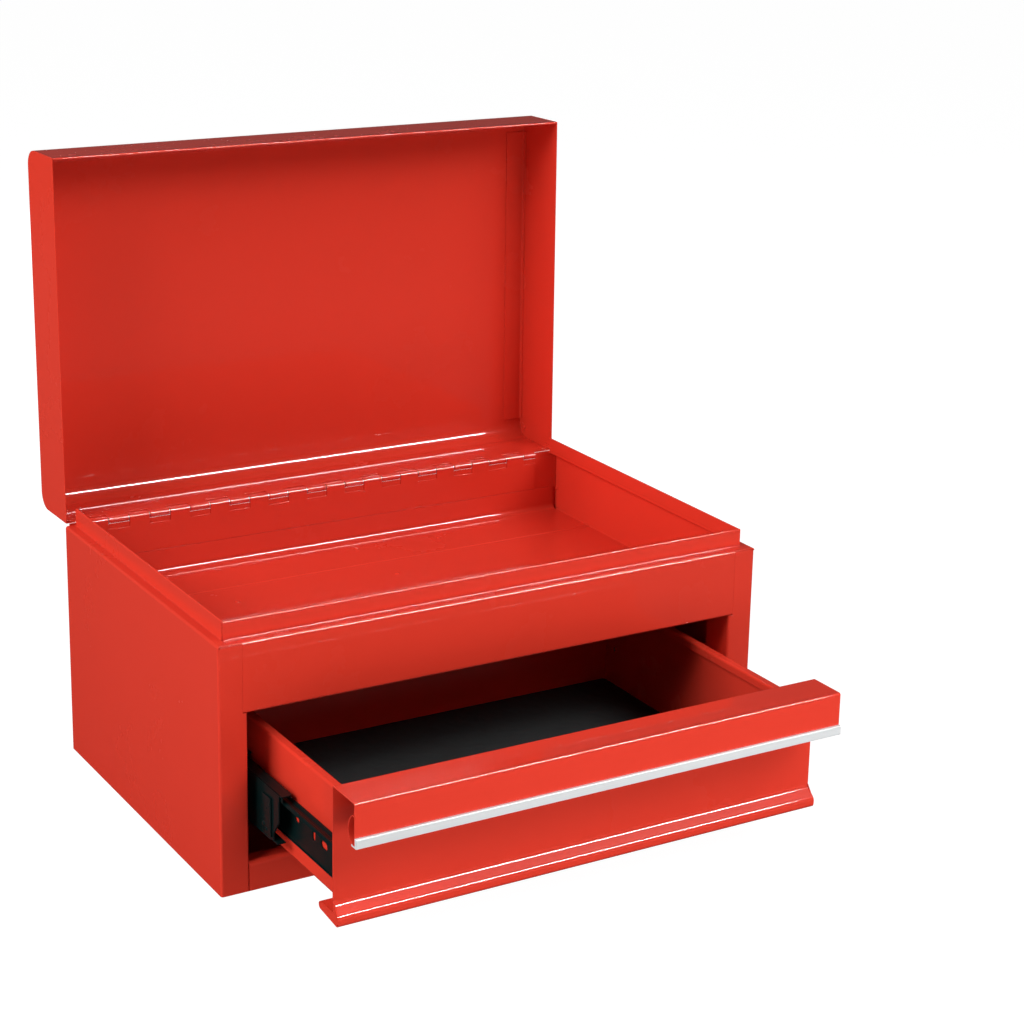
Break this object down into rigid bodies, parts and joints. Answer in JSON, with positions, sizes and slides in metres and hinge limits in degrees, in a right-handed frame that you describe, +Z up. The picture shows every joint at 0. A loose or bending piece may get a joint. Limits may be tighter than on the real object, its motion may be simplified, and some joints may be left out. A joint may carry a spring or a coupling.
{
  "type": "tool box with till and drawer",
  "caption": "Folded sheet-metal tool box: piano-hinged lid over an open till, and a drawer on telescopic ball slides.",
  "frame": {"origin": "middle of the cabinet's underside, on the surface it stands on", "axes": "+X to the right seen from the front, +Y to the back, +Z up; the front faces -Y"},
  "size_m": [0.52, 0.5829, 0.5491],
  "materials": {
    "red_paint": "gloss",
    "black_slide": "satin",
    "plain_steel": "satin",
    "ball_steel": "polished",
    "trim_aluminium": "satin",
    "black_mat": "matte"
  },
  "bodies": {
    "cabinet": {"left_side_panel": "red_paint", "right_side_panel": "red_paint", "rear_panel": "red_paint", "bottom_pan": "red_paint", "bottom_front_rail": "red_paint", "till_front": "red_paint", "till_tray": "red_paint", "till_support_front": "red_paint", "till_support_rear": "red_paint", "slide_brackets_left": "red_paint", "slide_brackets_right": "red_paint", "slide_outer_left": "black_slide", "slide_outer_right": "black_slide", "cabinet_slide_screws": "plain_steel", "hinge_body_leaf": "red_paint", "hinge_pin": "plain_steel"},
    "lid": {"lid_shell": "red_paint", "lid_end_cap_left": "red_paint", "lid_end_cap_right": "red_paint", "hinge_lid_leaf": "red_paint"},
    "drawer": {"drawer_front": "red_paint", "drawer_trim": "trim_aluminium", "drawer_tray": "red_paint", "drawer_back": "red_paint", "drawer_mat": "black_mat", "drawer_slide_screws": "plain_steel", "slide_inner_left": "black_slide", "slide_inner_right": "black_slide"},
    "middle_left": {"slide_middle_left": "black_slide"},
    "middle_right": {"slide_middle_right": "black_slide"},
    "outer_cage_left": {"outer_ball_cage_left": "plain_steel", "outer_balls_left": "ball_steel"},
    "outer_cage_right": {"outer_ball_cage_right": "plain_steel", "outer_balls_right": "ball_steel"},
    "inner_cage_left": {"inner_ball_cage_left": "plain_steel", "inner_balls_left": "ball_steel"},
    "inner_cage_right": {"inner_ball_cage_right": "plain_steel", "inner_balls_right": "ball_steel"}
  },
  "joints": [
    {"name": "lid_hinge", "type": "hinge", "parent": "cabinet", "child": "lid", "pos_m": [0, 0.1692, 0.216], "axis": [1, 0, 0], "range_deg": [0, 90.8]},
    {"name": "drawer_slide", "type": "slide", "parent": "cabinet", "child": "drawer", "axis": [0, -1, 0], "range_m": [-0.168, 0.13]},
    {"name": "middle_left_slide", "type": "slide", "parent": "cabinet", "child": "middle_left", "axis": [0, -1, 0], "range_m": [-0.084, 0.065]},
    {"name": "middle_right_slide", "type": "slide", "parent": "cabinet", "child": "middle_right", "axis": [0, -1, 0], "range_m": [-0.084, 0.065]},
    {"name": "outer_cage_left_slide", "type": "slide", "parent": "cabinet", "child": "outer_cage_left", "axis": [0, -1, 0], "range_m": [-0.042, 0.0325]},
    {"name": "outer_cage_right_slide", "type": "slide", "parent": "cabinet", "child": "outer_cage_right", "axis": [0, -1, 0], "range_m": [-0.042, 0.0325]},
    {"name": "inner_cage_left_slide", "type": "slide", "parent": "cabinet", "child": "inner_cage_left", "axis": [0, -1, 0], "range_m": [-0.126, 0.0975]},
    {"name": "inner_cage_right_slide", "type": "slide", "parent": "cabinet", "child": "inner_cage_right", "axis": [0, -1, 0], "range_m": [-0.126, 0.0975]}
  ],
  "couplings": [
    {"joint": "middle_left_slide", "follows": "drawer_slide", "ratio": 0.5},
    {"joint": "middle_right_slide", "follows": "drawer_slide", "ratio": 0.5},
    {"joint": "outer_cage_left_slide", "follows": "drawer_slide", "ratio": 0.25},
    {"joint": "outer_cage_right_slide", "follows": "drawer_slide", "ratio": 0.25},
    {"joint": "inner_cage_left_slide", "follows": "drawer_slide", "ratio": 0.75},
    {"joint": "inner_cage_right_slide", "follows": "drawer_slide", "ratio": 0.75}
  ]
}
